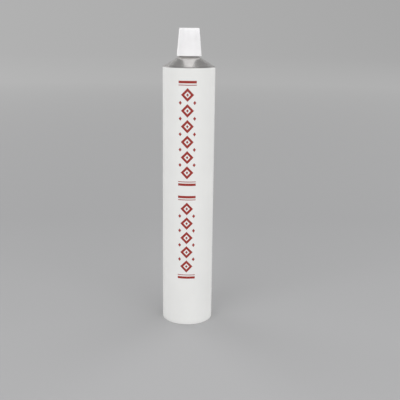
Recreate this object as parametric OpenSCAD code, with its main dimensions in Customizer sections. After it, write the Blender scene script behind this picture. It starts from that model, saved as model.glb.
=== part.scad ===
// Collapsible aluminium ointment tube with a conical screw cap, empty, its far end still open.
// Millimetres, +Z up. The tube stands on its open end; the origin is the centre of that end.

/* [Sleeve] */
// Outer diameter of the sleeve
sleeve_d = 28; // [22:0.5:36]
// Length of the straight sleeve, from the open end to the corner of the shoulder
sleeve_len = 142; // [90:1:180]
// Thickness of the sleeve's wall
sleeve_wall = 0.12; // [0.1:0.01:0.2]
// Outer radius of the corner between sleeve and shoulder
corner_r = 0.3; // [0.2:0.1:1]

/* [Shoulder] */
// Slope of the shoulder above the horizontal, in degrees
shoulder_slope = 31; // [20:1:40]
// Thickness of the shoulder
shoulder_wall = 0.5; // [0.3:0.05:0.8]

/* [Neck] */
// Diameter over the crests of the neck's thread
neck_d = 9; // [8:0.5:11]
// Height of the neck above the top of the shoulder
neck_len = 9.3; // [6:0.1:12]
// Radius of the fillet where the shoulder meets the neck
root_r = 0.3; // [0.1:0.05:0.5]
// Chamfer around the neck's end
neck_chamfer = 0.35; // [0.1:0.05:0.6]
// Diameter of the passage up the neck
passage_d = 6.6; // [5.2:0.2:7]
// Diameter of the orifice in the neck's end
orifice_d = 4.4; // [2:0.2:5]
// Thickness of the neck's end around the orifice
orifice_lip = 1.2; // [0.6:0.1:2]

/* [Cap] */
// Outer diameter of the cap at its foot
cap_foot_d = 13.2; // [12.8:0.2:16]
// Outer diameter of the cap at its top
cap_top_d = 10.6; // [10:0.2:12.6]
// Thickness of the cap's end, from the seat on the neck to the top, with the recess
cap_end = 4.7; // [3.5:0.1:8]
// Depth of the recess in the cap's top
recess_depth = 2.2; // [0.5:0.1:3]
// Width of the rim around the recess
recess_rim = 0.75; // [0.5:0.05:1.2]
// Draft of the recess, taken off its radius from the rim to the floor
recess_draft = 0.3; // [0:0.05:0.6]
// Radius on the cap's top edge
cap_top_r = 0.45; // [0.1:0.05:0.5]
// Radius on the outer edge of the cap's foot
cap_foot_r = 0.2; // [0.1:0.05:0.5]
// Chamfer at the mouth of the cap's bore
mouth_chamfer = 0.4; // [0.2:0.05:0.6]
// Radial gap between the cap's bore and the neck
neck_gap = 0.2; // [0.1:0.05:0.3]
// Gap between the neck's end and the cap's seat
seat_gap = 0.1; // [0.05:0.05:0.2]
// Gap between the shoulder and the foot of the cap, straight up from the shoulder
foot_gap = 0.25; // [0.15:0.05:0.5]

/* [Print] */
// Width of the printed ornament across the sleeve
print_w = 9.4; // [6:0.2:14]
// Bare length between the shoulder's corner and the ornament
print_top = 6.5; // [4:0.5:20]
// Bare length between the open end and the ornament
print_bottom = 27; // [15:1:40]
// Bare length between the ornament's two columns
print_break = 5.5; // [3:0.5:12]
// Height of one repeat of the ornament
print_pitch = 8.2; // [7.5:0.1:12]
// Width of the stroke of the open lozenges
print_stroke = 1.2; // [0.5:0.1:1.4]
// Height of the broad bar that closes each column
bar_h = 1.3; // [0.6:0.1:2]
// Height of the thin rule inside the bar
rule_h = 0.4; // [0.2:0.1:0.8]
// Bare height on either side of the thin rule
rule_gap = 0.7; // [0.4:0.1:1.2]
// How far the ornament's centre line lies to the right of the front
print_shift = -0.4; // [-3:0.1:3]
// Thickness of the ink
ink = 0.05; // [0.04:0.01:0.1]

/* [Hidden] */
$fn = 96;

sleeve_r = sleeve_d / 2;
neck_r = neck_d / 2;
passage_r = passage_d / 2;
orifice_r = orifice_d / 2;
cap_bore_r = neck_r + neck_gap;

// Height of the shoulder's outer face at radius r, and of its inner face below it
function shoulder_z(r) = sleeve_len + (sleeve_r - r) * tan(shoulder_slope);
function lining_z(r) = shoulder_z(r) - shoulder_wall / cos(shoulder_slope);

neck_top = shoulder_z(neck_r) + neck_len;
seat_z = neck_top + seat_gap;
cap_foot_z = shoulder_z(cap_bore_r + mouth_chamfer) + foot_gap;
cap_top_z = seat_z + cap_end;

// Height that the bar, the rule and their bare lines take at each end of a column
end_h = bar_h + 2 * rule_gap + rule_h;

enamel_white = [0.89, 0.89, 0.87];
cap_white = [0.95, 0.94, 0.94];
ink_red = [0.64, 0.19, 0.17];

// Points of an arc of radius r that rounds the corner b between the points a and c
function rounded(a, b, c, r, steps = 6) =
    let (u = (a - b) / norm(a - b),
         v = (c - b) / norm(c - b),
         half = acos(u * v) / 2,
         centre = b + (u + v) / norm(u + v) * r / sin(half),
         from = b + u * r / tan(half) - centre,
         to = b + v * r / tan(half) - centre,
         sweep = 180 - 2 * half)
    [for (i = [0 : steps])
        centre + (from * sin(sweep * (1 - i / steps)) + to * sin(sweep * i / steps)) / sin(sweep)];

// Sleeve, shoulder and neck, extruded from one slug: a thin sleeve under a thicker cone and neck
module tube() {
    corner = [sleeve_r, sleeve_len];
    root = [neck_r, shoulder_z(neck_r)];
    neck_edge = [neck_r, neck_top - neck_chamfer];
    bore_r = sleeve_r - sleeve_wall;
    color(enamel_white)
        rotate_extrude()
            polygon(concat(
                [[sleeve_r, 0]],
                rounded([sleeve_r, 0], corner, root, corner_r),
                rounded(corner, root, neck_edge, root_r),
                [neck_edge, [neck_r - neck_chamfer, neck_top],
                 [orifice_r, neck_top], [orifice_r, neck_top - orifice_lip],
                 [passage_r, neck_top - orifice_lip], [passage_r, lining_z(passage_r)],
                 [bore_r, lining_z(bore_r)], [bore_r, 0]]));
}

// Conical cap: a bore that drops over the neck and a recess in the top
module cap() {
    foot = [cap_foot_d / 2, cap_foot_z];
    top = [cap_top_d / 2, cap_top_z];
    rim = [cap_top_d / 2 - recess_rim, cap_top_z];
    floor_r = rim[0] - recess_draft;
    floor_z = cap_top_z - recess_depth;
    mouth = [cap_bore_r + mouth_chamfer, cap_foot_z];
    color(cap_white)
        rotate_extrude()
            polygon(concat(
                [mouth],
                rounded(mouth, foot, top, cap_foot_r),
                rounded(foot, top, rim, min(cap_top_r, recess_rim * 0.6)),
                [rim, [floor_r, floor_z], [0, floor_z], [0, seat_z], [cap_bore_r, seat_z],
                 [cap_bore_r, cap_foot_z + mouth_chamfer]]));
}

// Lozenge of the given width and height about the origin
module lozenge(w, h) {
    polygon([[w / 2, 0], [0, h / 2], [-w / 2, 0], [0, -h / 2]]);
}

// One repeat of the ornament: an open lozenge with a small solid one inside it
module lozenge_cell() {
    w = print_w * 0.72;
    h = print_pitch * 0.86;
    inset = 1 - 2 * print_stroke * norm([w, h]) / (w * h);
    difference() {
        lozenge(w, h);
        lozenge(w * inset, h * inset);
    }
    lozenge(w * 0.2, h * 0.24);
}

// Broad bar and thin rule that close a column, the bar outermost, above it (dir 1) or below it (dir -1)
module column_end(dir) {
    translate([0, dir * (end_h - bar_h / 2)]) square([print_w, bar_h], center = true);
    translate([0, dir * (end_h - bar_h - rule_gap - rule_h / 2)]) square([print_w, rule_h], center = true);
}

// Column of n repeats above y = 0, with its ends and with beads beside the joints between repeats
module column(n) {
    translate([0, end_h]) {
        column_end(-1);
        for (i = [0 : n - 1])
            translate([0, (i + 0.5) * print_pitch]) lozenge_cell();
        for (i = [1 : n - 1], side = [-1, 1])
            translate([side * print_w * 0.4, i * print_pitch]) lozenge(print_w * 0.17, print_pitch * 0.26);
        translate([0, n * print_pitch]) column_end(1);
    }
}

// Two columns of ornament in red ink, one above the other, wrapped on the front of the sleeve
module print() {
    free = sleeve_len - print_top - print_bottom - print_break - 4 * end_h;
    repeats = max(2, floor(free / print_pitch));
    upper = ceil(repeats / 2);
    lower = floor(repeats / 2);
    upper_h = upper * print_pitch + 2 * end_h;
    lower_h = lower * print_pitch + 2 * end_h;
    upper_z = sleeve_len - print_top - upper_h;
    color(ink_red)
        intersection() {
            difference() {
                cylinder(h = sleeve_len, r = sleeve_r + ink);
                translate([0, 0, -1]) cylinder(h = sleeve_len + 2, r = sleeve_r);
            }
            rotate([90, 0, 0])
                translate([print_shift, 0, 0])
                    linear_extrude(height = sleeve_d) {
                        translate([0, upper_z]) column(upper);
                        translate([0, upper_z - print_break - lower_h]) column(lower);
                    }
        }
}

tube();
cap();
print();
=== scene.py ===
# Empty ointment tube: enamelled sleeve, bare shoulder, threaded neck, conical screw cap and red ornament.
# Lengths in the settings are millimetres. Meshes are in metres, +Z up, with the open end at the origin.
import math

import bmesh
import bpy
import numpy as np
from mathutils import Matrix, Vector


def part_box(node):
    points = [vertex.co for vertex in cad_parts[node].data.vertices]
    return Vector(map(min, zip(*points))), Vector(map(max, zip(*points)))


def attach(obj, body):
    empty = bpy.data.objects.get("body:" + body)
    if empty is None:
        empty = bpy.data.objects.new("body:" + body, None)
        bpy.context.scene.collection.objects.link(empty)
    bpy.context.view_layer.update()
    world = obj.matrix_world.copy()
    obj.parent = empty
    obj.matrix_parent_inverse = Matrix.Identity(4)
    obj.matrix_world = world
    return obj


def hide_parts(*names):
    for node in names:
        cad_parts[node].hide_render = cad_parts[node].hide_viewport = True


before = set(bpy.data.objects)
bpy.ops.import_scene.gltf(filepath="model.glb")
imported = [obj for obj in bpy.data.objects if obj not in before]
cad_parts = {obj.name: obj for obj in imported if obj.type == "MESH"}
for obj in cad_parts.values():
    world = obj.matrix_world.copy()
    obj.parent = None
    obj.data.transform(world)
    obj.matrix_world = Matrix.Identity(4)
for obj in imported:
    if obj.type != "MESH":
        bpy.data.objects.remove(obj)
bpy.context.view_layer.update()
mm = 0.001

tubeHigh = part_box("tube")[1]
capLow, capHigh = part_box("cap")
sleeveRadius = tubeHigh.x / mm
neckTop = tubeHigh.z / mm
capFoot = capLow.z / mm
capTop = capHigh.z / mm
print("frame loaded: sleeve radius %.2f mm, neck end at %.2f mm, cap %.2f to %.2f mm"
      % (sleeveRadius, neckTop, capFoot, capTop))


# Colours and nodes

noiseSpan = {"From Min": 0.3, "From Max": 0.7}  # nearly all that a noise gives lies between these two


def linear(hexColour):
    # sRGB to linear: (c / 12.92) below 0.04045, else ((c + 0.055) / 1.055) ^ 2.4
    channels = [int(hexColour[i:i + 2], 16) / 255 for i in (1, 3, 5)]
    return [c / 12.92 if c <= 0.04045 else ((c + 0.055) / 1.055) ** 2.4 for c in channels] + [1.0]


def addNode(tree, kind, inputs=None, **settings):
    # One node with its settings; an input given as a socket is linked, any other is set. A Mix node's inputs
    # go by number: 0 is the share, 2 and 3 are two numbers, 6 and 7 two colours, and output 2 is the colour
    node = tree.nodes.new(kind)
    for name, value in settings.items():
        setattr(node, name, value)
    for name, value in (inputs or {}).items():
        if isinstance(value, bpy.types.NodeSocket):
            tree.links.new(value, node.inputs[name])
        else:
            node.inputs[name].default_value = value
    return node


def newMaterial(name):
    # a bare Principled shader, its tree, and the place on the object that its patterns read
    material = bpy.data.materials.new(name)
    material.use_nodes = True
    tree = material.node_tree
    tree.nodes.clear()
    shader = addNode(tree, "ShaderNodeBsdfPrincipled")
    addNode(tree, "ShaderNodeOutputMaterial", {"Surface": shader.outputs[0]})
    place = addNode(tree, "ShaderNodeTexCoord").outputs["Object"]
    return material, tree, shader, place


def patches(tree, place, size, low, high, detail=2):
    # a value that drifts between low and high in patches about size millimetres across
    noise = addNode(tree, "ShaderNodeTexNoise", {"Vector": place, "Scale": 1 / (size * mm), "Detail": detail})
    return addNode(tree, "ShaderNodeMapRange", {"Value": noise.outputs["Fac"], **noiseSpan,
                                                "To Min": low, "To Max": high}).outputs["Result"]


def coated(name, look):
    # A coat or a moulding: tint and roughness drift in patches between the look's two values, a relief of its
    # size and depth breaks up the gloss, and light soaks in as far as the glow's depth times its scale
    material, tree, shader, place = newMaterial(name)
    share = patches(tree, place, look["tintSize"], 0, 1, look["tintDetail"])
    tints = [linear(tint) for tint in look["tints"]]
    colour = addNode(tree, "ShaderNodeMix", {0: share, 6: tints[0], 7: tints[1]}, data_type="RGBA").outputs[2]
    tree.links.new(colour, shader.inputs["Base Color"])
    tree.links.new(patches(tree, place, look["glossSize"], *look["roughness"]), shader.inputs["Roughness"])
    if "reliefSize" in look:
        relief = addNode(tree, "ShaderNodeTexNoise", {"Vector": place,
                                                      "Scale": 1 / (look["reliefSize"] * mm)})
        bump = addNode(tree, "ShaderNodeBump", {"Height": relief.outputs["Fac"], "Strength": 1.0,
                                                "Distance": look["reliefDepth"] * mm})
        tree.links.new(bump.outputs["Normal"], shader.inputs["Normal"])
    if "glow" in look:
        shader.inputs["Subsurface Weight"].default_value = look["glow"]
        shader.inputs["Subsurface Radius"].default_value = [look["glowDepth"] * mm] * 3
        shader.inputs["Subsurface Scale"].default_value = look["glowScale"]
    shader.inputs["IOR"].default_value = look["ior"]
    return material


# Surfaces

arcSteps = 6  # faces along each rounded corner of a profile


def roundedPath(corners):
    # Path through (r, z, corner radius, spacing of the run that leads there): straight runs, and at each
    # corner with a radius the arc of the circle tangent to both of its runs
    points = []
    spots = [np.array(c[:2], float) for c in corners]
    for i, (r, z, radius, spacing) in enumerate(corners):
        arc = spots[i][None, :]
        if radius > 0:
            before = spots[i - 1] - spots[i]
            after = spots[i + 1] - spots[i]
            before = before / np.linalg.norm(before)
            after = after / np.linalg.norm(after)
            half = math.acos(before @ after) / 2
            centre = spots[i] + (before + after) / np.linalg.norm(before + after) * radius / math.sin(half)
            start = spots[i] + before * radius / math.tan(half) - centre
            end = spots[i] + after * radius / math.tan(half) - centre
            sweep = math.pi - 2 * half
            t = np.linspace(0, 1, arcSteps + 1)[:, None]
            arc = centre + (start * np.sin(sweep * (1 - t)) + end * np.sin(sweep * t)) / math.sin(sweep)
        if points:
            last = points[-1][-1]
            count = max(1, math.ceil(np.linalg.norm(arc[0] - last) / spacing))
            t = np.arange(1, count)[:, None] / count
            points.append(last + (arc[0] - last) * t)
        points.append(arc)
    return np.vstack(points)


def gridQuads(rows, columns, wrapRows=False, wrapColumns=False):
    # quads between neighbouring rows and columns of a grid of points, wound row first
    i = np.arange(rows if wrapRows else rows - 1)[:, None]
    j = np.arange(columns if wrapColumns else columns - 1)[None, :]
    nextI, nextJ = (i + 1) % rows, (j + 1) % columns
    corners = [i * columns + j, i * columns + nextJ, nextI * columns + nextJ, nextI * columns + j]
    return np.stack([np.broadcast_to(c, (i.size, j.size)) for c in corners], -1).reshape(-1, 4)


def meshObject(name, points, quads, material, smoothFaces=True):
    # points in millimetres, any shape ending in 3; doubles at poles are merged and normals turned outwards
    mesh = bpy.data.meshes.new(name)
    mesh.from_pydata((points.reshape(-1, 3) * mm).tolist(), [], quads.tolist())
    work = bmesh.new()
    work.from_mesh(mesh)
    bmesh.ops.remove_doubles(work, verts=work.verts, dist=1e-8)
    bmesh.ops.recalc_face_normals(work, faces=work.faces)
    work.to_mesh(mesh)
    work.free()
    mesh.polygons.foreach_set("use_smooth", np.full(len(mesh.polygons), smoothFaces))
    mesh.materials.append(material)
    piece = bpy.data.objects.new(name, mesh)
    bpy.context.scene.collection.objects.link(piece)
    return piece


def facetTurns(facets):
    # the share of a full turn at each facet's edge: 0, 1 / facets, 2 / facets and so on, as one row
    return np.arange(facets)[None, :] / facets


def turned(radius, height, turn):
    # surface of revolution: (r cos a, r sin a, z) at a = 2 pi turn
    radius, height, angle = np.broadcast_arrays(radius, height, 2 * math.pi * turn)
    return np.stack([radius * np.cos(angle), radius * np.sin(angle), height], -1)


def smooth(t):
    # 3t^2 - 2t^3 between 0 and 1
    t = np.clip(t, 0, 1)
    return t * t * (3 - 2 * t)


def sharpEdges(piece, degrees):
    # edges between faces that meet at more than this angle stay sharp
    piece.data.set_sharp_from_angle(angle=math.radians(degrees))


# Shape of the drawn sleeve, shoulder and neck; each break is the width and height of a small chamfer

tube = dict(sleeveLength=142, wall=0.12, cornerRadius=0.3, cornerDrop=0.01, shoulderSlope=31,
            shoulderWall=0.5, liningRadius=0.2, rootRadius=0.3, neckDiameter=9, rootDiameter=7.9,
            passageDiameter=6.6, passageRadius=0.3, orificeDiameter=4.4, orificeLip=1.2, edgeRadius=0.12,
            footBreak=(0.04, 0.05), boreBreak=(0.03, 0.03), neckBreak=(0.175, 0.25), facets=240,
            sharpAngle=40)
enamel = dict(coat=0.02, sink=0.01, foot=0.02, footBreak=(0.01, 0.03), drop=0.02, wrap=4, wrapRows=5,
              tuck=0.2, rows=80)
thread = dict(pitch=1.5, low=148.5, high=156.7, fade=0.9, tip=0.17, base=0.4, lead=0.05, rowHeight=0.1)
handling = dict(depth=0.05, stiffLength=9)


def shoulderHeight(r):
    # the shoulder's outer face: from the sleeve's edge it rises by the slope's tangent for each mm inwards
    return tube["sleeveLength"] + (sleeveRadius - r) * math.tan(math.radians(tube["shoulderSlope"]))


def liningHeight(r):
    # the shoulder's inner face: the outer one, lower by the wall over the cosine of the slope
    return shoulderHeight(r) - tube["shoulderWall"] / math.cos(math.radians(tube["shoulderSlope"]))


def handlingWave(height, turn):
    # Faint unevenness of the thin wall: waves with 2, 3 and 5 crests round the sleeve, each with its share of
    # the depth and a phase that slides along it, all dying out towards the stiff shoulder
    angle = 2 * math.pi * turn
    along = height / tube["sleeveLength"]
    waves = (0.5 * np.cos(2 * angle + 0.7 + 1.4 * along) * np.sin(math.pi * along)
             + 0.3 * np.cos(3 * angle + 5 * along + 1.9)
             + 0.2 * np.cos(5 * angle - 9 * along + 0.4))
    return handling["depth"] * waves * smooth((tube["sleeveLength"] - height) / handling["stiffLength"])


def threadRidge(height, turn, shift):
    # Right-hand ridge: 1 within tip of its centre line, 0 beyond base, easing between, and fading at both
    # ends of its height. Each turn raises it by the pitch, and shift moves it by a share of the pitch
    phase = ((height - thread["low"]) / thread["pitch"] - turn + shift) % 1
    away = np.abs(phase - 0.5) * thread["pitch"]
    ridge = smooth((thread["base"] - away) / (thread["base"] - thread["tip"]))
    start = smooth((height - thread["low"]) / thread["fade"])
    end = smooth((thread["high"] - height) / thread["fade"])
    return ridge * start * end


def makeTubeMetal(material):
    # Closed profile turned round the axis, up the outside and down the inside, its neck radius raised by the
    # thread and its thin wall moved by the handling wave
    outer = sleeveRadius - enamel["coat"]
    inner = sleeveRadius - tube["wall"]
    root = tube["rootDiameter"] / 2
    passage, orifice = tube["passageDiameter"] / 2, tube["orificeDiameter"] / 2
    lip = neckTop - tube["orificeLip"]
    edge = tube["edgeRadius"]
    footIn, footUp = tube["footBreak"]
    boreOut, boreUp = tube["boreBreak"]
    neckIn, neckDown = tube["neckBreak"]
    outside = roundedPath([
        (outer - footIn, 0, 0, 1), (outer, footUp, 0, 1),
        (outer, tube["sleeveLength"] - tube["cornerDrop"], tube["cornerRadius"], 4),
        (root, shoulderHeight(root), tube["rootRadius"], 0.5), (root, thread["low"], 0, 0.2)])
    neck = roundedPath([(root, thread["low"] + thread["lead"], 0, 1),
                        (root, thread["high"], 0, thread["rowHeight"])])
    inside = roundedPath([
        (root, neckTop - neckDown, 0, 0.1), (root - neckIn, neckTop, edge, 0.2),
        (orifice, neckTop, edge, 0.3), (orifice, lip, edge, 0.3), (passage, lip, edge, 0.3),
        (passage, liningHeight(passage), tube["passageRadius"], 0.8),
        (inner, liningHeight(inner), tube["liningRadius"], 0.6), (inner, boreUp, 0, 2),
        (inner + boreOut, 0, 0, 1)])
    path = np.vstack([outside, neck, inside])
    onNeck = np.repeat([0, 1, 0], [len(outside), len(neck), len(inside)])[:, None]
    turn = facetTurns(tube["facets"])
    radius, height = path[:, :1], path[:, 1:]
    ridge = threadRidge(height, turn, 0) * onNeck * (tube["neckDiameter"] / 2 - root)
    wave = np.where(height < tube["sleeveLength"], handlingWave(height, turn), 0)
    points = turned(radius + ridge + wave, height, turn)
    piece = meshObject("tubeMetal", points, gridQuads(*points.shape[:2], True, True), material)
    sharpEdges(piece, tube["sharpAngle"])
    return piece


def makeEnamel(material):
    # Skin of enamel on the outside of the sleeve: a closed ring that thins out part of the way round the
    # shoulder's corner, at an angle of wrap from the level, and moves with the handling wave
    inner = sleeveRadius - enamel["coat"] - enamel["sink"]
    corner = tube["cornerRadius"]
    bend = math.radians(90 - tube["shoulderSlope"])
    level = tube["sleeveLength"] - corner * math.tan(bend / 2) - enamel["drop"]
    footIn, footUp = enamel["footBreak"]
    wrap = np.linspace(0, math.radians(enamel["wrap"]), enamel["wrapRows"])[:, None]
    over = np.hstack([sleeveRadius - corner + corner * np.cos(wrap), level + corner * np.sin(wrap)])
    under = over[-1:] - enamel["coat"] * np.hstack([np.cos(wrap[-1:]), np.sin(wrap[-1:])])
    straight = np.linspace(enamel["foot"] + footUp, level, enamel["rows"])[:-1, None]
    path = np.vstack([[[inner, enamel["foot"]], [sleeveRadius - footIn, enamel["foot"]]],
                      np.hstack([sleeveRadius + 0 * straight, straight]), over, under,
                      [[inner, level - enamel["tuck"]]]])
    turn = facetTurns(tube["facets"])
    radius, height = path[:, :1], path[:, 1:]
    points = turned(radius + handlingWave(height, turn), height, turn)
    piece = meshObject("sleeveEnamel", points, gridQuads(*points.shape[:2], True, True), material)
    sharpEdges(piece, tube["sharpAngle"])
    return piece


# Shape of the moulded cap

cap = dict(footDiameter=13.2, topDiameter=10.6, recessRim=0.75, recessDepth=2.2, recessDraft=0.3,
           floorRadius=0.5, topRadius=0.45, rimRadius=0.18, footRadius=0.2, footDrop=0.1, boreDiameter=9.6,
           ridgeDiameter=8.4, ridgeStop=0.1, mouthChamfer=0.4, mouthRadius=0.1, seatGap=0.1,
           seatBreak=(0.3, 0.05), facets=200, sharpAngle=40)


def makeCap(material):
    # Profile from the middle of the recess out over the rim, down the side and up the bore to the seat,
    # turned round the axis; the bore's radius is lowered by a ridge that lies in the neck's groove
    foot, top = cap["footDiameter"] / 2, cap["topDiameter"] / 2
    rim = top - cap["recessRim"]
    floor = capTop - cap["recessDepth"]
    low = capFoot - cap["footDrop"]
    bore = cap["boreDiameter"] / 2
    mouth, mouthRadius = cap["mouthChamfer"], cap["mouthRadius"]
    seat = neckTop + cap["seatGap"]
    seatIn, seatDown = cap["seatBreak"]
    outside = roundedPath([
        (0, floor, 0, 1), (rim - cap["recessDraft"], floor, cap["floorRadius"], 0.6),
        (rim, capTop, cap["rimRadius"], 0.3), (top, capTop, cap["topRadius"], 0.1),
        (foot, low, cap["footRadius"], 0.5), (bore + mouth, low, mouthRadius, 0.3),
        (bore, low + mouth, mouthRadius, 0.2), (bore, thread["low"], 0, 0.2)])
    threaded = roundedPath([(bore, thread["low"] + thread["lead"], 0, 1),
                            (bore, thread["high"] - cap["ridgeStop"], 0, thread["rowHeight"])])
    end = roundedPath([(bore, seat - seatDown, 0, 0.2), (bore - seatIn, seat, 0, 0.2), (0, seat, 0, 0.6)])
    path = np.vstack([outside, threaded, end])
    onThread = np.repeat([0, 1, 0], [len(outside), len(threaded), len(end)])[:, None]
    turn = facetTurns(cap["facets"])
    radius, height = path[:, :1], path[:, 1:]
    ridge = threadRidge(height, turn, 0.5) * onThread * (bore - cap["ridgeDiameter"] / 2)
    points = turned(radius - ridge, height, turn)
    piece = meshObject("capMoulding", points, gridQuads(*points.shape[:2], False, True), material)
    sharpEdges(piece, cap["sharpAngle"])
    return piece


# Ornament in red ink: two columns of lozenges between bars. A grid is the points across and up one shape

ornament = dict(width=9.4, shift=-0.4, top=6.5, columnBreak=5.5, pitch=8.2, upperCells=6, lowerCells=5,
                stroke=1.2, bar=1.3, rule=0.4, ruleGap=0.7, lozengeWidth=0.72, lozengeHeight=0.86,
                heartWidth=0.2, heartHeight=0.24, beadPlace=0.4, beadWidth=0.17, beadHeight=0.26,
                barGrid=(36, 5), ruleGrid=(36, 3), ringGrid=(14, 5), heartGrid=(7, 7), beadGrid=(8, 8),
                lift=0.012, sink=0.012)
columnEnd = ornament["bar"] + 2 * ornament["ruleGap"] + ornament["rule"]


def barOutline(centre, width, height):
    # four corners of an upright rectangle about its centre, anticlockwise from the lower left
    x, z = centre
    return [(x - width / 2, z - height / 2), (x + width / 2, z - height / 2),
            (x + width / 2, z + height / 2), (x - width / 2, z + height / 2)]


def lozengeOutline(centre, width, height):
    # four points of a lozenge about its centre, anticlockwise from the left
    x, z = centre
    return [(x - width / 2, z), (x, z - height / 2), (x + width / 2, z), (x, z + height / 2)]


def inkPatch(corners, columns, rows):
    # points of the quad between four corners: across u and up v, (1-u)(1-v)A + u(1-v)B + uvC + (1-u)vD
    a, b, c, d = [np.array(p, float) for p in corners]
    u = np.linspace(0, 1, columns)[None, :, None]
    v = np.linspace(0, 1, rows)[:, None, None]
    return (1 - u) * (1 - v) * a + u * (1 - v) * b + u * v * c + (1 - u) * v * d


def ringPatch(centre, width, height, inner, steps, columns):
    # open lozenge: its outline walked once round, from the full outline to the same one at the inner share
    outline = np.array(lozengeOutline((0, 0), width, height))
    part = np.arange(steps)[:, None] / steps
    walk = np.concatenate([outline[i] + (outline[(i + 1) % 4] - outline[i]) * part for i in range(4)])
    share = np.linspace(1, inner, columns)[:, None, None]
    return np.array(centre) + walk[None] * share


def columnLength(cells):
    # the cells at their pitch, with an end below and above them
    return cells * ornament["pitch"] + 2 * columnEnd


def columnPatches(bottom, cells):
    # the flat shapes of one column, as grids of (x, z) and whether each grid closes on itself
    o = ornament
    top = bottom + columnLength(cells)
    x = o["shift"]
    shapes = []
    for z in (bottom + o["bar"] / 2, top - o["bar"] / 2):
        shapes.append((inkPatch(barOutline((x, z), o["width"], o["bar"]), *o["barGrid"]), False))
    ruleAt = o["bar"] + o["ruleGap"] + o["rule"] / 2
    for z in (bottom + ruleAt, top - ruleAt):
        shapes.append((inkPatch(barOutline((x, z), o["width"], o["rule"]), *o["ruleGrid"]), False))
    width, height = o["width"] * o["lozengeWidth"], o["pitch"] * o["lozengeHeight"]
    inner = 1 - 2 * o["stroke"] * math.hypot(width, height) / (width * height)
    for cell in range(cells):
        middle = (x, bottom + columnEnd + (cell + 0.5) * o["pitch"])
        heart = lozengeOutline(middle, width * o["heartWidth"], height * o["heartHeight"])
        shapes.append((ringPatch(middle, width, height, inner, *o["ringGrid"]), True))
        shapes.append((inkPatch(heart, *o["heartGrid"]), False))
    for joint in range(1, cells):
        z = bottom + columnEnd + joint * o["pitch"]
        for side in (-1, 1):
            bead = lozengeOutline((x + side * o["beadPlace"] * o["width"], z), o["beadWidth"] * o["width"],
                                  o["beadHeight"] * o["pitch"])
            shapes.append((inkPatch(bead, *o["beadGrid"]), False))
    return shapes


def faceForward(piece):
    # turns over the faces whose normal points backwards, into the sleeve
    work = bmesh.new()
    work.from_mesh(piece.data)
    inward = [f for f in work.faces if f.normal.y > 0]
    bmesh.ops.reverse_faces(work, faces=inward)
    work.to_mesh(piece.data)
    work.free()


def makePrint(material):
    # Each flat shape is laid on the front: y = -sqrt(R^2 - x^2), with R the sum of the sleeve's radius, the
    # handling wave there and the ink's height. Its faces are flat, so that the thin rims don't shade them
    upperFoot = tube["sleeveLength"] - ornament["top"] - columnLength(ornament["upperCells"])
    lowerFoot = upperFoot - ornament["columnBreak"] - columnLength(ornament["lowerCells"])
    shapes = (columnPatches(upperFoot, ornament["upperCells"])
              + columnPatches(lowerFoot, ornament["lowerCells"]))
    points, quads, count = [], [], 0
    for grid, closed in shapes:
        x, z = grid[..., 0], grid[..., 1]
        turn = np.arctan2(-np.sqrt(sleeveRadius ** 2 - x ** 2), x) / (2 * math.pi)
        reach = sleeveRadius + handlingWave(z, turn) + ornament["lift"]
        points.append(np.stack([x, -np.sqrt(reach ** 2 - x ** 2), z], -1).reshape(-1, 3))
        quads.append(gridQuads(*x.shape, False, closed) + count)
        count += x.size
    piece = meshObject("printInk", np.vstack(points), np.vstack(quads), material, smoothFaces=False)
    faceForward(piece)
    solid = piece.modifiers.new("inkThickness", "SOLIDIFY")
    solid.thickness = (ornament["lift"] + ornament["sink"]) * mm
    solid.offset = -1
    return piece


# Finishes. A size is how wide the patches of tint, gloss or relief are; two values are the ends of a drift

enamelLook = dict(tints=("#E7E7E5", "#EAEAE8"), tintSize=14, tintDetail=2, roughness=(0.34, 0.42),
                  glossSize=6, reliefSize=1.1, reliefDepth=0.004, ior=1.5)


def whiteEnamel():
    # Stoved white enamel, rolled on aluminium: opaque and slightly warm, a soft gloss broken by orange peel
    return coated("whiteEnamel", enamelLook)


capLook = dict(tints=("#ECEBEC", "#EFEEEF"), tintSize=5, tintDetail=2, roughness=(0.42, 0.5),
               glossSize=2, reliefSize=0.25, reliefDepth=0.003, glow=0.8, glowDepth=1, glowScale=1.2,
               ior=1.49)


def capPolypropylene():
    # Injection-moulded white polypropylene: bright, slightly see-through at thin edges, and satin like the
    # etched mould
    return coated("capPolypropylene", capLook)


inkLook = dict(tints=("#9D2A20", "#94231B"), tintSize=0.5, tintDetail=4, roughness=(0.32, 0.42),
               glossSize=1.5, ior=1.5)


def redInk():
    # Dry-offset red ink: flat and slightly glossy, a little thinner in places so the white shows through it
    return coated("redInk", inkLook)


aluminiumLook = dict(tints=("#D3D1CE", "#E6E4E2"), roughness=(0.17, 0.26), markDepth=0.01, flowWidth=0.5,
                     flowWidthAt=13, flowSlide=8, latheWidth=0.15, latheSpan=(0.42, 0.58), latheSlide=0.02,
                     neckRadius=4.6, coneRadius=5.6, rimInner=13.2, rimOuter=13.8, rimLow=141, rimHigh=141.4,
                     rimShadeTint="#939190", rimRoughness=0.32)


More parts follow.
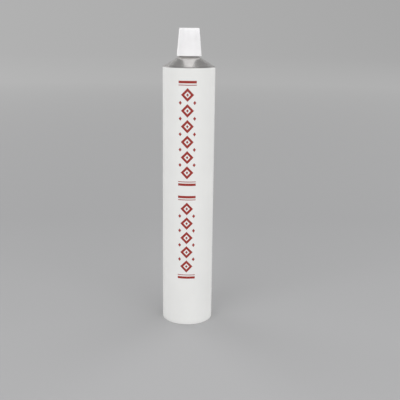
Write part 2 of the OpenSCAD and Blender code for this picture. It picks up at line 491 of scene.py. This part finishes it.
def bareAluminium():
    # Impact-extruded aluminium, a bright satin metal. Flow marks, flowWidth wide at flowWidthAt from the axis
    # and coarser than real ones, which wouldn't show, run out from the neck, down the shoulder and along the
    # wall. The neck, cut on a lathe with its thread, has lines round it instead, and the last of the metal
    # before the enamel is duller, and darker with painted shade along its join with the enamel. A slide is
    # how far a pattern moves on for each metre along
    look = aluminiumLook
    material, tree, shader, place = newMaterial("bareAluminium")
    level = addNode(tree, "ShaderNodeVectorMath", {0: place, 1: (1, 1, 0)}, operation="MULTIPLY").outputs[0]
    around = addNode(tree, "ShaderNodeVectorMath", {0: level}, operation="NORMALIZE").outputs[0]
    along = addNode(tree, "ShaderNodeVectorMath", {0: place, 1: (0, 0, look["flowSlide"])},
                    operation="MULTIPLY").outputs[0]
    flow = addNode(tree, "ShaderNodeVectorMath", {0: around, 1: along}, operation="ADD").outputs[0]
    flowMarks = addNode(tree, "ShaderNodeTexNoise", {"Vector": flow, "Detail": 4, "Roughness": 0.6,
                                                     "Scale": look["flowWidthAt"] / look["flowWidth"]})
    height = addNode(tree, "ShaderNodeVectorMath", {0: place, 1: (look["latheSlide"], look["latheSlide"], 1)},
                     operation="MULTIPLY").outputs[0]
    latheLines = patches(tree, height, look["latheWidth"], *look["latheSpan"], detail=1)
    away = addNode(tree, "ShaderNodeVectorMath", {0: level}, operation="LENGTH").outputs["Value"]
    upward = addNode(tree, "ShaderNodeSeparateXYZ", {0: place}).outputs["Z"]
    onCone = addNode(tree, "ShaderNodeMapRange", {"Value": away, "From Min": look["neckRadius"] * mm,
                                                  "From Max": look["coneRadius"] * mm}).outputs[0]
    outward = addNode(tree, "ShaderNodeMapRange", {"Value": away, "From Min": look["rimInner"] * mm,
                                                   "From Max": look["rimOuter"] * mm}).outputs[0]
    above = addNode(tree, "ShaderNodeMapRange", {"Value": upward, "From Min": look["rimLow"] * mm,
                                                 "From Max": look["rimHigh"] * mm}).outputs[0]
    marks = addNode(tree, "ShaderNodeMix", {0: onCone, 2: latheLines, 3: flowMarks.outputs["Fac"]},
                    data_type="FLOAT").outputs[0]
    rim = addNode(tree, "ShaderNodeMath", {0: outward, 1: above}, operation="MULTIPLY").outputs[0]
    share = addNode(tree, "ShaderNodeMapRange", {"Value": marks, **noiseSpan}).outputs[0]
    satin = addNode(tree, "ShaderNodeMapRange", {"Value": marks, **noiseSpan, "To Min": look["roughness"][0],
                                                 "To Max": look["roughness"][1]}).outputs[0]
    tints = [linear(tint) for tint in look["tints"]]
    bright = addNode(tree, "ShaderNodeMix", {0: share, 6: tints[0], 7: tints[1]}, data_type="RGBA").outputs[2]
    # painted shade: the band of metal next to the enamel gets a darker tint; its rougher gloss below is real
    colour = addNode(tree, "ShaderNodeMix", {0: rim, 6: bright, 7: linear(look["rimShadeTint"])},
                     data_type="RGBA").outputs[2]
    gloss = addNode(tree, "ShaderNodeMix", {0: rim, 2: satin, 3: look["rimRoughness"]},
                    data_type="FLOAT").outputs[0]
    bump = addNode(tree, "ShaderNodeBump", {"Height": marks, "Strength": 1.0,
                                            "Distance": look["markDepth"] * mm}).outputs["Normal"]
    tree.links.new(colour, shader.inputs["Base Color"])
    tree.links.new(gloss, shader.inputs["Roughness"])
    tree.links.new(bump, shader.inputs["Normal"])
    shader.inputs["Metallic"].default_value = 1.0
    return material


# Studio, in metres

studio = dict(floorRadius=3.2, curveRadius=1.4, curveSteps=24, wallHeight=2.8, floorDrop=0.00002, facets=96,
              litFrontColour="#ADADAE", shadedBackColour="#A3A3A4", frontEdge=-0.1, backEdge=0.2, farColour="#3C3C3C",
              fadeFrom=0.25, fadeTo=1.7, backdropGlow=0.392, lean=0.06, leanReach=1.2, roughness=0.9,
              gloss=0.1, airColour="#FFFFFF", airStrength=0.281, spread=130, aim=(0, 0, 0.08))
softboxes = [
    dict(name="topBox", place=(0.3, 0, 2.6), size=2.0, power=5.1),
    dict(name="frontLeftBox", place=(-1.5, -2.1, 1.35), size=2.3, power=20.2),
    dict(name="frontRightBox", place=(1.5, -2.1, 1.35), size=2.3, power=17.4),
    dict(name="leftBox", place=(-2.6, -0.2, 1.3), size=2.2, power=6.0),
    dict(name="rightBox", place=(2.6, -0.2, 1.3), size=2.2, power=10.4),
    dict(name="backLeftBox", place=(-2.1, 1.8, 1.2), size=2.0, power=15),
    dict(name="backRightBox", place=(2.1, 1.8, 1.2), size=2.0, power=12),
]


def palePaper():
    # Pale matt paper, lit from behind like a sweep: near the tube it only reflects, with painted shade making
    # it a little darker behind it than in front, and in the distance it glows, a little more on the left than
    # on the right
    material, tree, shader, place = newMaterial("palePaper")
    away = addNode(tree, "ShaderNodeVectorMath", {0: place}, operation="LENGTH").outputs["Value"]
    spot = addNode(tree, "ShaderNodeSeparateXYZ", {0: place})
    fade = addNode(tree, "ShaderNodeMapRange", {"Value": away, "From Min": studio["fadeFrom"],
                                                "From Max": studio["fadeTo"]}).outputs[0]
    backward = addNode(tree, "ShaderNodeMapRange", {"Value": spot.outputs["Y"],
                                                    "From Min": studio["frontEdge"],
                                                    "From Max": studio["backEdge"]}).outputs[0]
    # painted shade: the paper's colour darkens from in front of the tube to behind it
    near = addNode(tree, "ShaderNodeMix", {0: backward, 6: linear(studio["litFrontColour"]),
                                           7: linear(studio["shadedBackColour"])}, data_type="RGBA").outputs[2]
    colour = addNode(tree, "ShaderNodeMix", {0: fade, 6: near, 7: linear(studio["farColour"])},
                     data_type="RGBA").outputs[2]
    leaning = addNode(tree, "ShaderNodeMapRange", {
        "Value": spot.outputs["X"], "From Min": -studio["leanReach"], "From Max": studio["leanReach"],
        "To Min": studio["backdropGlow"] * (1 + studio["lean"]),
        "To Max": studio["backdropGlow"] * (1 - studio["lean"])}).outputs[0]
    glow = addNode(tree, "ShaderNodeMath", {0: fade, 1: leaning}, operation="MULTIPLY").outputs[0]
    tree.links.new(colour, shader.inputs["Base Color"])
    tree.links.new(glow, shader.inputs["Emission Strength"])
    shader.inputs["Emission Color"].default_value = (1, 1, 1, 1)
    shader.inputs["Roughness"].default_value = studio["roughness"]
    shader.inputs["Specular IOR Level"].default_value = studio["gloss"]
    material.cycles.emission_sampling = "NONE"
    return material


def makeFloor(material):
    # Floor and round wall as one turned profile: flat, then a quarter circle up, then straight up
    reach, bend, drop = studio["floorRadius"] / mm, studio["curveRadius"] / mm, -studio["floorDrop"] / mm
    arc = np.linspace(0, math.pi / 2, studio["curveSteps"] + 1)[1:]
    path = np.vstack([
        [[0, drop], [reach / 3, drop], [reach, drop]],
        np.stack([reach + bend * np.sin(arc), drop + bend * (1 - np.cos(arc))], -1),
        [[reach + bend, studio["wallHeight"] / mm]]])
    points = turned(path[:, :1], path[:, 1:], facetTurns(studio["facets"]))
    return meshObject("floor", points, gridQuads(*points.shape[:2], False, True), material)


def makeLights():
    # even air all round and square softboxes that face the middle of the tube
    world = bpy.data.worlds.new("studioAir")
    bpy.context.scene.world = world
    world.use_nodes = True
    air = world.node_tree.nodes["Background"]
    air.inputs["Color"].default_value = linear(studio["airColour"])
    air.inputs["Strength"].default_value = studio["airStrength"]
    for box in softboxes:
        light = bpy.data.lights.new(box["name"], "AREA")
        light.shape, light.size, light.energy = "SQUARE", box["size"], box["power"]
        light.spread = math.radians(studio["spread"])
        holder = bpy.data.objects.new(box["name"], light)
        holder.location = box["place"]
        holder.rotation_euler = (Vector(studio["aim"]) - holder.location).to_track_quat("-Z", "Y").to_euler()
        holder.visible_camera = False
        bpy.context.scene.collection.objects.link(holder)


# Camera at the photograph's place, in metres: it looks along +Y, down by pitch, rolled a little to the right

shot = dict(place=(0.00669, -0.35974, 0.16184), pitch=14.489, roll=0.715, focalLength=59.91, sensor=36,
            nearest=0.01, farthest=20)


def makeCamera():
    # its axes are right, up and backwards: level and upright turned by the roll, and the opposite of ahead
    pitch, roll = math.radians(shot["pitch"]), math.radians(shot["roll"])
    ahead = Vector((0, math.cos(pitch), -math.sin(pitch)))
    level, upright = Vector((1, 0, 0)), Vector((0, math.sin(pitch), math.cos(pitch)))
    right = level * math.cos(roll) + upright * math.sin(roll)
    up = upright * math.cos(roll) - level * math.sin(roll)
    lens = bpy.data.cameras.new("camera")
    lens.lens, lens.sensor_width = shot["focalLength"], shot["sensor"]
    lens.clip_start, lens.clip_end = shot["nearest"], shot["farthest"]
    camera = bpy.data.objects.new("camera", lens)
    turning = Matrix((right, up, -ahead)).transposed().to_4x4()
    camera.matrix_world = Matrix.Translation(shot["place"]) @ turning
    bpy.context.scene.collection.objects.link(camera)
    bpy.context.scene.camera = camera
    bpy.context.scene.view_settings.view_transform = "Standard"


makeCamera()
makeLights()
floor = makeFloor(palePaper())
print("camera and studio made")

tubeMetal = makeTubeMetal(bareAluminium())
sleeveEnamel = makeEnamel(whiteEnamel())
for piece in (tubeMetal, sleeveEnamel):
    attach(piece, "tube")
    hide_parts("tube")
print("tube made: %d and %d faces" % (len(tubeMetal.data.polygons), len(sleeveEnamel.data.polygons)))

capMoulding = makeCap(capPolypropylene())
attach(capMoulding, "cap")
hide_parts("cap")
print("cap made: %d faces" % len(capMoulding.data.polygons))

printInk = makePrint(redInk())
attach(printInk, "tube")
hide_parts("print")
print("print made: %d faces" % len(printInk.data.polygons))
